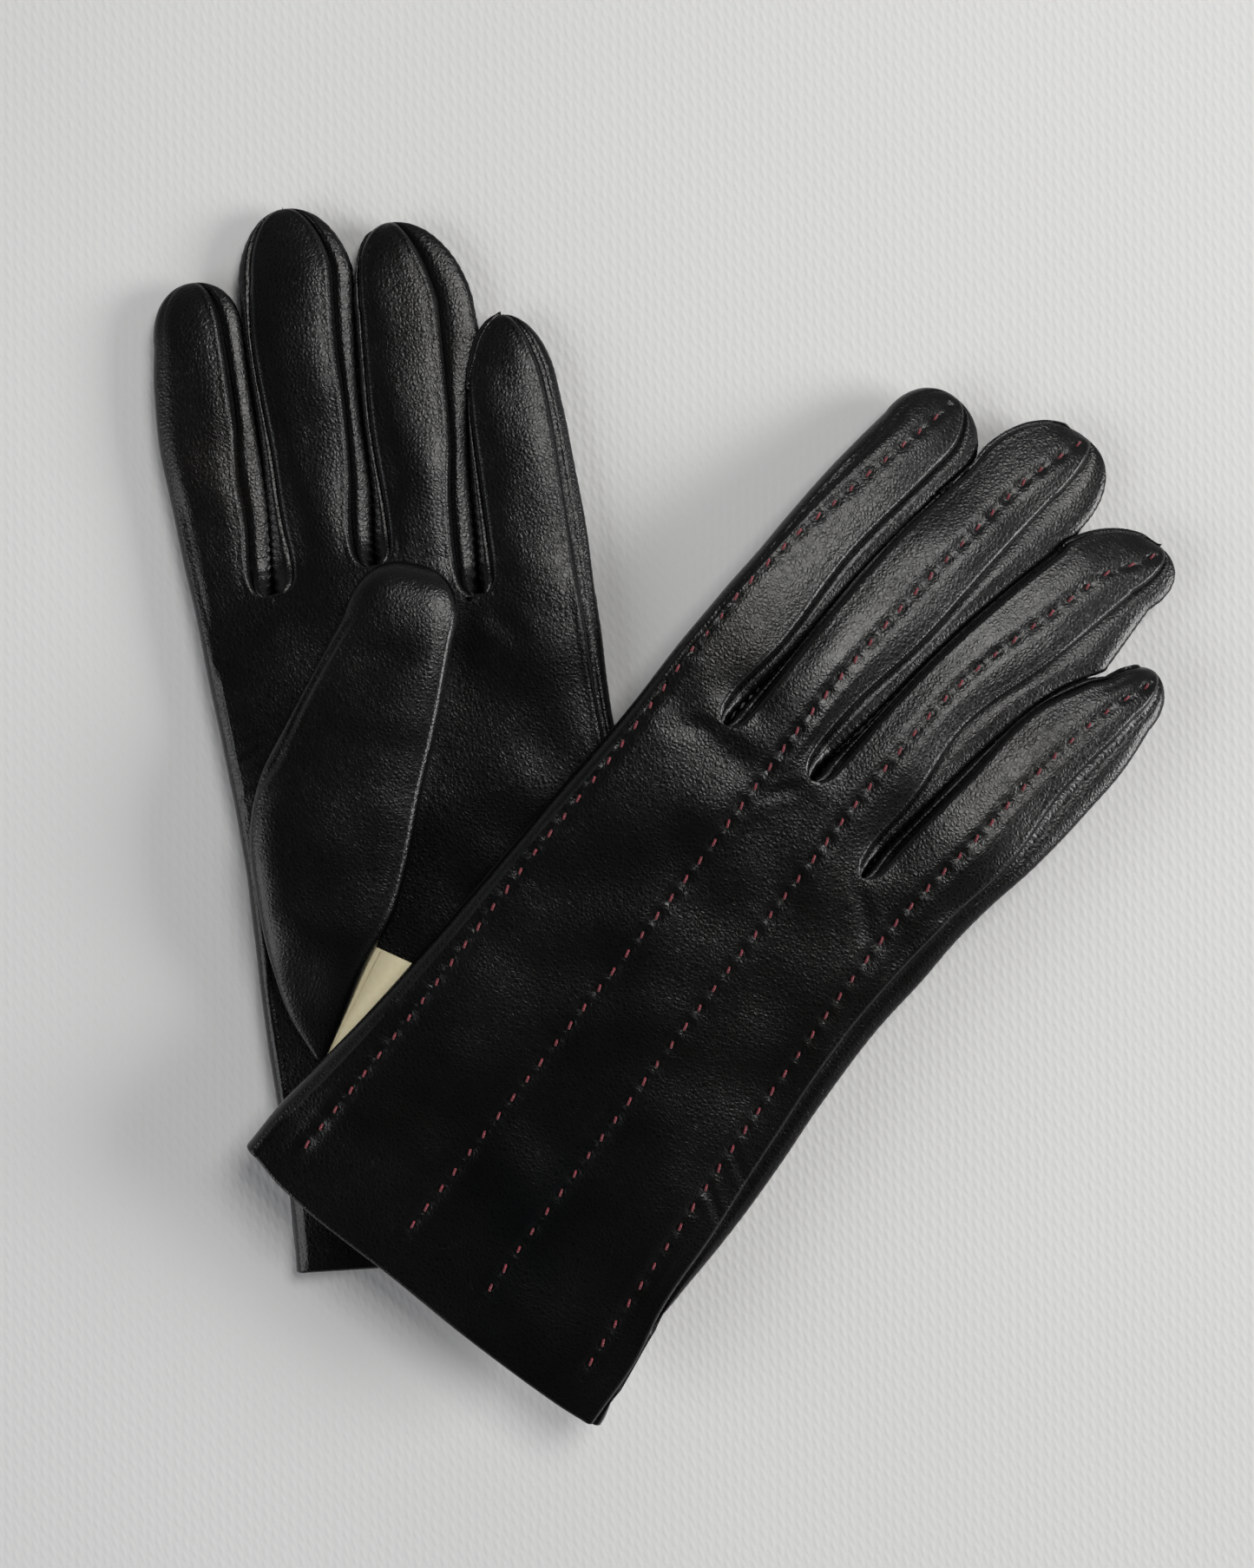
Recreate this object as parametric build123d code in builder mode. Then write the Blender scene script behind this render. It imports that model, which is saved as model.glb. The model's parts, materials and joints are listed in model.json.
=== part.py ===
"""A pair of leather dress gloves, laid one on the other.

The left glove lies palm up on the table. The right glove lies palm down across its cuff, with its
fingers drooping to the table. Both are cut the same way: a leather hand and four finger sheaths,
fourchettes between the fingers, a thumb set into the palm, a turned hem, a knitted lining, and four
rows of points stitching on the back. A folded paper tag lies on the left palm.

Each glove is built in its own frame: +X across the hand, +Y from the cuff to the fingertips, and +Z
from the back to the palm, with zero at the middle of the cuff's edge on the back.
"""

import os
from dataclasses import dataclass
from math import asin, atan2, cos, degrees, hypot, radians, sin

from build123d import *

# Leather and lining
leather = 0.9  # thickness of the hide
lining_gap = 0.12  # between the hide and the lining
lining = 1.1  # thickness of the knitted lining
lining_outside = leather + lining_gap
lining_inside = lining_outside + lining
edge_radius = 2.6  # rounding along the sides of the hand and fingers
least_radius = 0.2  # the same on the innermost forms of a thin digit
radius_share = 1 / 3  # most of a thin form's thickness that its rounding takes

# Hand
hand_thickness = 9.0
cuff_half = 50.5
waist_half = 46.6
waist_height = 62.0
web = 3.0  # length of the forks between the fingers on the outermost form
web_growth = 4.0  # what a fork gains in length for each millimetre that a form is pulled in
passage_ease = 0.5  # by which each finger's passage is narrower on each side
hem_depth = 12.0
hem_leather = 0.7
mouth_overrun = 5.0  # how far the cutting forms run past an open end
slab_margin = 25.0  # how far a cutting slab runs past the cuff on each side

# Fingers and thumb
finger_thickness = 8.0
hinge_gap = 0.3  # between a moving piece and the piece it turns on
root_overrun = 1.0
fourchette_height = 4.8
fourchette_wall = 1.2  # reach of the fourchette's cut into the finger's side
side_reach = 1.0  # reach of the same cut outside the finger's side
heel_offset = (5.0, -44.0)  # foot of the thumb's base from the crease, across and along the thumb
heel_width = 10.0
heel_thickness = 3.0
heel_radius = 1.0
thumb_hole = (9.0, 12.0)  # half axes of the oval hole that the thumb is set into
thumb_hole_below = 15.0  # from the thumb's crease to the hole's middle
thumb_hole_from = 6.5  # the hole's cut starts inside the hand's cavity

# Points stitching
stitch_pitch = 5.2
stitch_length = 2.4
stitch_width = 0.7
stitch_depth = 0.3
groove_width = 1.0
groove_depth = 0.35
cuff_margin = 5.0  # from the cuff's edge to the first stitch
tip_margin = 9.0  # from the last stitch to the fingertip

# Folded paper tag
tag_width = 15.0
tag_length = 30.0
tag_paper = 0.25
tag_height = 0.9
tag_corner = (-65.03, -33.97)
tag_turn = -24.3


@dataclass
class Digit:
    """A finger or a thumb: its sheath's root and tip on the hand, and its widths."""

    name: str
    root: tuple  # middle of the crease that it bends at
    tip: tuple
    root_width: float
    tip_width: float
    thickness: float = finger_thickness
    base: float = 0.0  # height of its lower face over the back of the hand
    droop: float = 0.0  # angle at rest, towards the palm
    fourchettes: tuple = ()  # -1 for the side towards the thumb, 1 for the other side
    row: tuple = ()  # where the points row lies: cuff and crease across the hand, then the tip

    @property
    def length(self):
        return hypot(self.tip[0] - self.root[0], self.tip[1] - self.root[1]) / cos(radians(self.droop))

    @property
    def turn(self):
        return -degrees(atan2(self.tip[0] - self.root[0], self.tip[1] - self.root[1]))


@dataclass
class Glove:
    """A glove's name, the plane of its back, which way its thumb lies, and its digits."""

    name: str
    plane: Plane
    side: int  # 1 when the index finger is at -X in the glove's plane, and -1 at +X
    fingers: list
    thumb: Digit


def moved(plane, position, turns=(0, 0, 0)):
    """The plane moved to a position in its own frame, and then turned about its own axes."""
    return Plane(plane.location * Location(position, turns))


def flat_plane(glove, digit):
    """The digit's plane as it lies flat in the hand, at the middle of its crease."""
    return moved(glove.plane, (*digit.root, digit.base), (0, 0, digit.turn))


def digit_plane(glove, digit):
    """The same plane, turned about the crease on the palm side by the digit's droop."""
    crease = moved(flat_plane(glove, digit), (0, 0, digit.thickness), (digit.droop, 0, 0))
    return moved(crease, (0, 0, -digit.thickness))


def root_corner(digit, side, inset, back):
    """A corner of the digit's crease in the glove's frame, moved in by inset and towards the cuff."""
    across = Vector(side * (digit.root_width / 2 - inset), -back).rotate(Axis.Z, digit.turn)
    return (digit.root[0] + across.X, digit.root[1] + across.Y)


def long_rims(form, plane):
    """The rims of a flat form above and below, without the edges that run straight across it."""
    rims = form.edges().group_by(Axis(plane.origin, plane.z_dir))
    return (rims[0] + rims[-1]).filter_by(Axis(plane.origin, plane.x_dir), reverse=True)


def digit_form(glove, digit, inset, overrun=0.0):
    """The digit as a solid, pulled in by inset all round and run past its root by overrun."""
    plane = digit_plane(glove, digit)
    root_half = digit.root_width / 2 - inset
    tip_half = digit.tip_width / 2 - inset
    shoulder = digit.length - digit.tip_width / 2
    with BuildPart() as form:
        with BuildSketch(plane.offset(inset)):
            with BuildLine():
                Polyline(
                    (-tip_half, shoulder),
                    (-root_half, -overrun),
                    (root_half, -overrun),
                    (tip_half, shoulder),
                )
                ThreePointArc((tip_half, shoulder), (0, shoulder + tip_half), (-tip_half, shoulder))
            make_face()
        extrude(amount=digit.thickness - 2 * inset)
        radius = max(min(edge_radius, radius_share * digit.thickness) - inset, least_radius)
        fillet(long_rims(form, plane), radius)
    return form.part


def hand_form(glove, inset, overrun, back):
    """The flat hand, from the cuff to a stepped end that lies back from the fingers' creases."""
    ends = sorted(glove.fingers, key=lambda digit: digit.root[0])
    corners = [root_corner(digit, side, inset, back) for digit in ends for side in (-1, 1)]
    flare = (cuff_half - waist_half) / waist_height
    mouth_half = cuff_half + flare * overrun - inset
    with BuildPart() as form:
        with BuildSketch(glove.plane.offset(inset)):
            with BuildLine():
                Polyline(
                    (-mouth_half, -overrun),
                    (-waist_half + inset, waist_height),
                    *corners,
                    (waist_half - inset, waist_height),
                    (mouth_half, -overrun),
                    close=True,
                )
            make_face()
        extrude(amount=hand_thickness - 2 * inset)
        sides = long_rims(form, glove.plane).filter_by(lambda edge: edge.length > waist_height / 2)
        fillet(sides, edge_radius - inset)
    return form.part


def hand_core(glove, inset, overrun, reach):
    """The hand's inside, pulled in by inset, with a passage into each finger."""
    fork = web + web_growth * inset
    with BuildPart() as core:
        add(hand_form(glove, inset, overrun, fork))
        for digit in glove.fingers:
            with BuildSketch(flat_plane(glove, digit).offset(inset)):
                with Locations((0, reach)):
                    Rectangle(
                        digit.root_width - 2 * (inset + passage_ease),
                        fork + reach + leather,
                        align=(Align.CENTER, Align.MAX),
                    )
            extrude(amount=digit.thickness - 2 * inset)
    return core.part


def fourchette_band(glove, digit, side):
    """The block that cuts a fourchette's strip out of one side of a finger."""
    shoulder = digit.length - digit.tip_width / 2
    inner, outer = -fourchette_wall, side_reach
    with BuildPart() as band:
        low = (digit.thickness - fourchette_height) / 2
        with BuildSketch(digit_plane(glove, digit).offset(low)):
            with BuildLine():
                Polyline(
                    (side * (digit.root_width / 2 + inner), 0),
                    (side * (digit.root_width / 2 + outer), 0),
                    (side * (digit.tip_width / 2 + outer), shoulder),
                    (side * (digit.tip_width / 2 + inner), shoulder),
                    close=True,
                )
            make_face()
        extrude(amount=fourchette_height)
    return band.part


def row_sketch_plane(plane, start, end):
    """A plane at the middle of a points row, with +X along the row."""
    middle = ((start[0] + end[0]) / 2, (start[1] + end[1]) / 2, 0)
    return moved(plane, middle, (0, 0, degrees(atan2(end[1] - start[1], end[0] - start[0]))))


def row_length(start, end):
    return hypot(end[0] - start[0], end[1] - start[1])


def groove_form(plane, start, end):
    """The shallow groove that a points row sinks into the back of a piece."""
    with BuildPart() as groove:
        with BuildSketch(row_sketch_plane(plane, start, end)):
            Rectangle(row_length(start, end), groove_width)
        extrude(amount=groove_depth)
    return groove.part


def stitches_form(plane, start, end):
    """The stitches of a points row, lying on the floor of its groove."""
    count = int(row_length(start, end) / stitch_pitch)
    with BuildPart() as stitches:
        with BuildSketch(row_sketch_plane(plane, start, end).offset(groove_depth - stitch_depth)):
            with GridLocations(stitch_pitch, 0, count, 1):
                Rectangle(stitch_length, stitch_width)
        extrude(amount=stitch_depth)
    return stitches.part


def finger_row(digit):
    """Ends of the points row on a finger, in the finger's own plane."""
    return (digit.row[1], hinge_gap), (digit.row[2], digit.length - tip_margin)


def hand_row(digit):
    """Ends of the points row on the hand that leads to this finger, in the glove's plane."""
    crease = Vector(digit.row[1], -hinge_gap).rotate(Axis.Z, digit.turn)
    return (digit.row[0], cuff_margin), (digit.root[0] + crease.X, digit.root[1] + crease.Y)


def save(part, label):
    part.label = label
    export_step(part, f"parts/{label}.step")


def build_finger(glove, digit):
    """A finger's sheath, fourchettes, lining and points row."""
    name = f"{glove.name}_{digit.name}"
    plane = digit_plane(glove, digit)
    with BuildPart() as shell:
        add(digit_form(glove, digit, 0))
        add(digit_form(glove, digit, leather, root_overrun), mode=Mode.SUBTRACT)
        add(groove_form(plane, *finger_row(digit)), mode=Mode.SUBTRACT)

    bands = {side: fourchette_band(glove, digit, side * glove.side) for side in digit.fourchettes}
    with BuildPart() as sheath:
        add(shell.part)
        for band in bands.values():
            add(band, mode=Mode.SUBTRACT)
    save(sheath.part, f"{name}_sheath")

    side_names = {-1: "inner", 1: "outer"}
    for side, band in bands.items():
        with BuildPart() as fourchette:
            add(shell.part)
            add(band, mode=Mode.INTERSECT)
        save(fourchette.part, f"{name}_{side_names[side]}_fourchette")

    with BuildPart() as finger_lining:
        add(digit_form(glove, digit, lining_outside))
        add(digit_form(glove, digit, lining_inside, root_overrun), mode=Mode.SUBTRACT)
    save(finger_lining.part, f"{name}_lining")

    with BuildPart() as points:
        add(stitches_form(plane, *finger_row(digit)))
    save(points.part, f"{name}_points")


def thumb_hole_form(glove):
    """The oval hole that joins the hand's inside to the thumb's."""
    hole_plane = moved(glove.plane, (*glove.thumb.root, thumb_hole_from), (0, 0, glove.thumb.turn))
    with BuildPart() as hole:
        with BuildSketch(hole_plane):
            with Locations((0, -thumb_hole_below)):
                Ellipse(*thumb_hole)
        extrude(amount=hand_thickness + leather - thumb_hole_from)
    return hole.part


def thumb_base_form(glove, inset, overrun):
    """The thumb's fixed base: a wedge from its heel on the palm up to the crease it bends at."""
    thumb = glove.thumb
    palm = moved(glove.plane, (*thumb.root, hand_thickness), (0, 0, thumb.turn))
    crease = moved(palm, (0, overrun - hinge_gap, inset))
    heel = moved(palm, (glove.side * heel_offset[0], heel_offset[1] + inset, inset))
    top_height = thumb.base + thumb.thickness - hand_thickness - 2 * inset
    with BuildPart() as form:
        for plane, width, height in (
            (crease, thumb.root_width, top_height),
            (heel, heel_width, heel_thickness - 2 * inset),
        ):
            with BuildSketch(Plane(plane.origin, x_dir=plane.x_dir, z_dir=-plane.y_dir)):
                with Locations((0, height / 2)):
                    RectangleRounded(width - 2 * inset, height, min(heel_radius, radius_share * height))
        loft()
    return form.part


def build_thumb(glove):
    """The thumb's fixed base, its moving sheath and its lining."""
    name = f"{glove.name}_thumb"
    with BuildPart() as base:
        add(thumb_base_form(glove, 0, 0))
        add(thumb_base_form(glove, leather, root_overrun), mode=Mode.SUBTRACT)
        add(thumb_hole_form(glove), mode=Mode.SUBTRACT)
    save(base.part, f"{name}_base")

    with BuildPart() as sheath:
        add(digit_form(glove, glove.thumb, 0))
        add(digit_form(glove, glove.thumb, leather, root_overrun), mode=Mode.SUBTRACT)
    save(sheath.part, f"{name}_sheath")

    with BuildPart() as thumb_lining:
        add(digit_form(glove, glove.thumb, lining_outside))
        add(digit_form(glove, glove.thumb, lining_inside, root_overrun), mode=Mode.SUBTRACT)
    save(thumb_lining.part, f"{name}_lining")


def slab_across(glove, start, end):
    """A block over the whole width of the hand, from one height above the cuff to another."""
    with BuildPart() as slab:
        with BuildSketch(glove.plane):
            with Locations((0, (start + end) / 2)):
                Rectangle(2 * (cuff_half + slab_margin), end - start)
        extrude(amount=hand_thickness)
    return slab.part


def build_hand(glove):
    """The leather hand, the hem turned into its mouth, its lining and its points rows."""
    with BuildPart() as hand:
        add(hand_form(glove, 0, 0, hinge_gap))
        add(hand_core(glove, leather, mouth_overrun, root_overrun), mode=Mode.SUBTRACT)
        add(thumb_hole_form(glove), mode=Mode.SUBTRACT)
        for digit in glove.fingers:
            add(groove_form(glove.plane, *hand_row(digit)), mode=Mode.SUBTRACT)
    save(hand.part, f"{glove.name}_hand_shell")

    with BuildPart() as hem:
        add(hand_form(glove, lining_outside, mouth_overrun, 0))
        add(hand_form(glove, lining_outside + hem_leather, 2 * mouth_overrun, 0), mode=Mode.SUBTRACT)
        add(slab_across(glove, 0, hem_depth), mode=Mode.INTERSECT)
    save(hem.part, f"{glove.name}_cuff_hem")

    with BuildPart() as hand_lining:
        add(hand_core(glove, lining_outside, 0, -hinge_gap))
        add(slab_across(glove, -root_overrun, hem_depth), mode=Mode.SUBTRACT)
        add(hand_core(glove, lining_inside, mouth_overrun, root_overrun), mode=Mode.SUBTRACT)
        add(thumb_hole_form(glove), mode=Mode.SUBTRACT)
    save(hand_lining.part, f"{glove.name}_hand_lining")

    with BuildPart() as points:
        for digit in glove.fingers:
            add(stitches_form(glove.plane, *hand_row(digit)))
    save(points.part, f"{glove.name}_hand_points")


def build_tag():
    """A strip of paper folded once along its length, lying flat on the left palm."""
    left_palm = moved(Plane((*tag_corner, hand_thickness + hinge_gap)), (0, 0, 0), (0, 0, tag_turn))
    with BuildPart() as tag:
        with BuildSketch(Plane(left_palm.origin, x_dir=left_palm.x_dir, z_dir=left_palm.y_dir)):
            with Locations((tag_width / 2, -tag_height / 2)):
                RectangleRounded(tag_width, tag_height, radius_share * tag_height)
            with Locations((tag_width / 2 + tag_paper, -tag_height / 2)):
                Rectangle(tag_width, tag_height - 2 * tag_paper, mode=Mode.SUBTRACT)
        extrude(amount=-tag_length)
    save(tag.part, "paper_tag")


def droop_to_table(height, digit_root, digit_tip):
    """The angle at which a finger that leaves the hand at this height reaches the table."""
    run = hypot(digit_tip[0] - digit_root[0], digit_tip[1] - digit_root[1])
    return degrees(asin(height / run))


# Where the gloves lie, and the levels of the stack: the left hand, the right thumb, then the right hand
left_heading = 10.5
right_heading = -37.5
left_cuff = (-34.33, -98.67, 0)
right_cuff = (-53.43, -107.97)
left_thumb_thickness = 8.5
right_thumb_thickness = 5.0
palm_level = hand_thickness + hinge_gap
right_palm_height = palm_level + right_thumb_thickness + hinge_gap
right_back_height = right_palm_height + hand_thickness
crease_height = right_back_height - finger_thickness - hinge_gap

# Fingers of both gloves: name, sides with a fourchette, root width, tip width
cut = {
    "index": ((1,), 20.8, 20.0),
    "middle": ((-1, 1), 23.2, 21.5),
    "ring": ((-1, 1), 22.4, 21.0),
    "little": ((-1,), 24.4, 19.5),
}
# How the digits lie: crease and tip across and along the hand, with the index finger at -X
thumb_lie = ((-25.0, 94.0), (3.5, 157.5))
thumb_widths = (36.0, 24.0)
left_lie = {
    "index": ((-37.2, 163.0), (-34.0, 229.5)),
    "middle": ((-14.7, 165.0), (-6.0, 242.5)),
    "ring": ((9.2, 163.0), (17.2, 235.0)),
    "little": ((33.7, 154.0), (37.6, 211.0)),
}
right_lie = {
    "index": ((-33.6, 157.0), (-31.2, 234.0)),
    "middle": ((-10.8, 159.0), (-0.3, 248.0)),
    "ring": ((13.2, 157.0), (27.6, 238.4)),
    "little": ((37.6, 149.0), (48.7, 212.6)),
}
# Points rows: across the hand at the cuff, then off the finger's middle at its crease and its tip
rows = {
    "index": (-40.7, -5.4, 3.0),
    "middle": (-10.8, 0.0, 0.5),
    "ring": (11.5, -3.6, 1.2),
    "little": (40.1, -3.0, -0.6),
}


def make_fingers(lie, side, crease_level):
    """A glove's fingers, mirrored across the hand when its index finger is at +X."""
    fingers = []
    for name, (root, tip) in lie.items():
        sides, root_width, tip_width = cut[name]
        finger = Digit(
            name=name,
            root=(side * root[0], root[1]),
            tip=(side * tip[0], tip[1]),
            root_width=root_width,
            tip_width=tip_width,
            droop=droop_to_table(crease_level, root, tip) if crease_level else 0.0,
            fourchettes=sides,
            row=tuple(side * across for across in rows[name]),
        )
        fingers.append(finger)
    return fingers


def make_thumb(side, thickness):
    """A glove's thumb, mirrored in the same way and lying on the palm."""
    root, tip = thumb_lie
    return Digit(
        name="thumb",
        root=(side * root[0], root[1]),
        tip=(side * tip[0], tip[1]),
        root_width=thumb_widths[0],
        tip_width=thumb_widths[1],
        thickness=thickness,
        base=palm_level,
    )


def heading_plane(origin, heading, side):
    """The plane of a glove's back: +Z to the palm, which faces up when side is 1."""
    across = (side * cos(radians(heading)), side * sin(radians(heading)), 0)
    return Plane(origin, x_dir=across, z_dir=(0, 0, side))


left = Glove(
    name="left",
    plane=heading_plane(left_cuff, left_heading, 1),
    side=1,
    fingers=make_fingers(left_lie, 1, 0.0),
    thumb=make_thumb(1, left_thumb_thickness),
)
right = Glove(
    name="right",
    plane=heading_plane((*right_cuff, right_back_height), right_heading, -1),
    side=-1,
    fingers=make_fingers(right_lie, -1, crease_height),
    thumb=make_thumb(-1, right_thumb_thickness),
)

os.makedirs("parts", exist_ok=True)
for glove in (left, right):
    build_hand(glove)
    build_thumb(glove)
    for finger in glove.fingers:
        build_finger(glove, finger)
build_tag()
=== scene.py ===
"""Looks of a pair of leather dress gloves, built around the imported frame.

Lengths in the glove functions are millimetres in each glove's own plan: u across the hand, with the index
finger at -u, and v from the cuff to the fingertips. Heights are millimetres above the table.
"""

import json

import bmesh
import bpy
import numpy as np
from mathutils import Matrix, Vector


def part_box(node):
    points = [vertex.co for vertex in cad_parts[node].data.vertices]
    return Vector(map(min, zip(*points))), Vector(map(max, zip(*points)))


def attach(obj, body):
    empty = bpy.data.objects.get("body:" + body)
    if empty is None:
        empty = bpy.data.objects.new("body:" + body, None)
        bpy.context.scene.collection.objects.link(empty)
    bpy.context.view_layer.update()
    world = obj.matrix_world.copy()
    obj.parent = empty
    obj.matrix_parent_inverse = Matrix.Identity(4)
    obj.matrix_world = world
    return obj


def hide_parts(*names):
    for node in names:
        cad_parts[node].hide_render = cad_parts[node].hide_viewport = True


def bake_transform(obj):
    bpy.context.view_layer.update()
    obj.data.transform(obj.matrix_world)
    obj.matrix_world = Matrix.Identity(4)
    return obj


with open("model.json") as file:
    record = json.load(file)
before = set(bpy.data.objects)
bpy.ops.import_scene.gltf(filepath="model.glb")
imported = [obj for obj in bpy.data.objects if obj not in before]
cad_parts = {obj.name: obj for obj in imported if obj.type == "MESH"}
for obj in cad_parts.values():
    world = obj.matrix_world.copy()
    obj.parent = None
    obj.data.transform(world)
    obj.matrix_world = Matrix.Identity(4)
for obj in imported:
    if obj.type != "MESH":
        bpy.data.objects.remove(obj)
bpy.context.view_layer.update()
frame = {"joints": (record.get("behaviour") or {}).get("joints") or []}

MM = 0.001


# Driving values, in millimetres unless a line says otherwise

# A glove's section, as shares of its half thickness
SEAM_LEVEL = 0.42  # height of a top seam
FOLD_LEVEL = 0.80  # height where the top leather turns over the index finger's folded side
BOTTOM_LEVEL = 0.55  # depth of the lower seams
ROUNDNESS = 2.6  # power of the curve across a finger's top
PALM_ROUNDNESS = 9.0  # the same across the whole hand, which lies flatter
END_ROUNDNESS = 2.3  # power of the curve that closes the thickness at a tip

# A glove's plan
CUFF_SPLITS = (-26.0, 0.0, 26.0)  # where the lines between the strips start at the cuff
CUFF_LEFTS = (-50.0, *CUFF_SPLITS, 50.0)
FOLD_IN = 3.0  # the top sheet's edge lies this far inside the folded side
BOTTOM_SEAM_IN = 2.0  # the lower seams lie this far inside the outline
CLOSE_EARLY = 5.0  # the thickness starts to close this far before the width
LIP_ENDS = (-1.0, 9.0)  # past the crotch, a seam sinks over this stretch from the hand's top
FINGER_FULL = 9.0  # past its root, a finger's lower seams have drawn in
NEARLY_CLOSED = 0.999999  # share of the way to the tip where the last ring lies, so that it keeps a width

# Seams: a turned-down edge with a raised lip beside it
SEAM_DEPTH, SEAM_WIDTH = 0.5, 0.42
LIP_HEIGHT, LIP_IN, LIP_WIDTH = 0.26, 1.1, 0.7
RELIEF_FADE = (0.5, 3.0)  # lips, folds and rows fade out as the half thickness falls over this range

# Points rows and their thread
POINTS_PITCH = 5.2
ROW_START, ROW_END_IN = 7.0, 3.0
RIDGE_HEIGHT, GROOVE_DEPTH, PULL_DEPTH, DIMPLE_DEPTH = 0.10, 0.12, 0.12, 0.21
THREAD_RADIUS, THREAD_LENGTH = 0.28, 2.15
THREAD_ARCH, THREAD_END_DIP = 0.5, 0.35
STITCH_SLANT = 17  # degrees

# Sheets and their grids
WALL, LINING_WALL, THUMB_LINING_WALL = 0.8, 0.8, 0.6
TOP_COLUMNS, BOTTOM_COLUMNS, SIDE_COLUMNS = 33, 15, 11
SKIN_COUNTS = (TOP_COLUMNS, BOTTOM_COLUMNS, SIDE_COLUMNS)
LINING_COUNTS = (13, 9, 5)
FOURCHETTE_COUNTS = (0, 0, 15)
HAND_ROWS = 190
FINGER_SPACING, FOURCHETTE_SPACING, LINING_SPACING = 0.8, 0.45, 2.0
HAND_LINING_IN, HAND_LINING_START = 1.75, 9.0  # in from the leather's face, and up from the cuff's edge
FINGER_LINING_IN = 1.0
HEM_ROLL, HEM_OUT = 0.85, 0.75  # the turned edge's radius through the sheet, and its reach past the cuff
HEM_INSIDE, HEM_LONG = 1.65, 12.0  # the hem's depth and length inside the cuff

# Fingers
FINGERS = ("index", "middle", "ring", "little")

# The thumb, in its own plan: a across and b along from its root
THUMB_ROOT = (-25.0, 94.0)
THUMB_ALONG = (0.409, 0.912)
THUMB_LEFT = [(-47, 7.8), (-40.4, 1.0), (-28.1, -6.9), (-15.5, -12.9), (-0.35, -18.6), (14.2, -19.4),
              (25.2, -17), (37.5, -14), (53.7, -9.7)]
THUMB_RIGHT = [(-47, 9.7), (-34.5, 12.1), (-19.3, 15.1), (-12, 17.2), (1.1, 18), (19.3, 17.3),
               (35.2, 17.3), (54.3, 16.1)]
THUMB_TIP = (3.6, 69.6)
THUMB_START = -46.8  # where the base that is sewn into the palm starts
THUMB_SHOULDER, THUMB_THIN = 54, 48  # where the width and the thickness start to close
THUMB_SHOULDER_MIDDLE = 3.2
THUMB_HEIGHTS = {"left": (9.0, 8.6), "right": (9.3, 5.0)}  # the lowest height and the thickness
THUMB_COLUMNS, THUMB_LINING_COLUMNS = 96, 32
THUMB_SEED = 5
THUMB_FOLDS = [  # on the thumb that lies on its palm: from, to, width, depth and bend
    ((-7.6, 52), (-15.5, 22), 0.5, 0.8, 0.6),
    ((-15.5, 20), (-20, 8), 0.7, 0.7),
]

# The paper tag: each leaf's height, its shift across and its skew
TAG_SIZE = (15.0, 32.0)
TAG_TURN = -24.3  # degrees
TAG_THICKNESS = 0.14
TAG_LEAVES = ((0.0, -1.5, 0.0), (0.45, -0.6, 0.045))

# Camera
CAMERA_AT = (-8.03, 5.13, 450.0)
SEEN_HEIGHT, SEEN_DISTANCE = 361.4, 440.0
SENSOR = 36.0

# Room, in metres and watts. A light has a place, a size, a power and a colour.
ROOM_LOW, ROOM_HIGH, ROOM_HIGH_FROM = (0.44, 0.45, 0.47, 1), (0.015, 0.015, 0.015, 1), 0.9
FLOOR_HALF = 3.0
FLOOR_DROP = 0.0002
LIGHTS = (
    ("window", (0.53, 0.62, 1.42), (0.62, 0.62), 12.5, (1.0, 0.99, 0.97)),
    ("side", (1.9, -0.1, 0.80), (1.0, 0.7), 34, (1.0, 0.995, 0.98)),
    ("fill", (-1.5, -0.5, 0.90), (1.4, 1.0), 12, (0.97, 0.98, 1.0)),
)


# Small numpy tools


def smooth_line(points):
    """A smooth function through points (x, y), with x rising."""
    x, y = np.array(points, float).T
    slope = np.gradient(y, x)

    def value(at):
        at = np.clip(np.asarray(at, float), x[0], x[-1])
        i = np.clip(np.searchsorted(x, at, side="right") - 1, 0, len(x) - 2)
        step = x[i + 1] - x[i]
        t = (at - x[i]) / step
        return (
            y[i] * (1 + 2 * t) * (1 - t) ** 2
            + y[i + 1] * t**2 * (3 - 2 * t)
            + step * slope[i] * t * (1 - t) ** 2
            + step * slope[i + 1] * t**2 * (t - 1)
        )

    return value


def plan_line(points):
    """u as a smooth function of v, through points (u, v)."""
    return smooth_line([(v, u) for u, v in points])


def ease(x, start, end):
    """0 before start, 1 after end, and smooth between."""
    t = np.clip((x - start) / (end - start), 0, 1)
    return t * t * (3 - 2 * t)


def bell(x, width):
    """A smooth bump, 1 at x = 0."""
    return np.exp(-((x / width) ** 2))


def soft_noise(x, y, size, seed, waves=14):
    """Smooth noise of about unit height, with lumps of about the given size."""
    random = np.random.default_rng(seed)
    total = np.zeros(np.broadcast(x, y).shape)
    for _ in range(waves):
        angle, phase = random.uniform(0, 2 * np.pi, 2)
        length = size * random.uniform(1.4, 3.4)
        total += np.sin(2 * np.pi * (x * np.cos(angle) + y * np.sin(angle)) / length + phase)
    return total / np.sqrt(waves / 2)


def crease(u, v, a, b, width, depth, bend=0.0):
    """A fold from a to b: a valley with a raised lip on each side, fading out at its ends."""
    a, b = np.array(a, float), np.array(b, float)
    along = b - a
    length = np.hypot(*along)
    t = ((u - a[0]) * along[0] + (v - a[1]) * along[1]) / length**2
    off = ((u - a[0]) * along[1] - (v - a[1]) * along[0]) / length
    off = off - bend * 4 * t * (1 - t)
    fade = ease(t, -0.15, 0.25) * (1 - ease(t, 0.75, 1.15))
    return -depth * fade * (bell(off, width) - 0.45 * bell(np.abs(off) - 2.0 * width, width))


# Meshes


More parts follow.
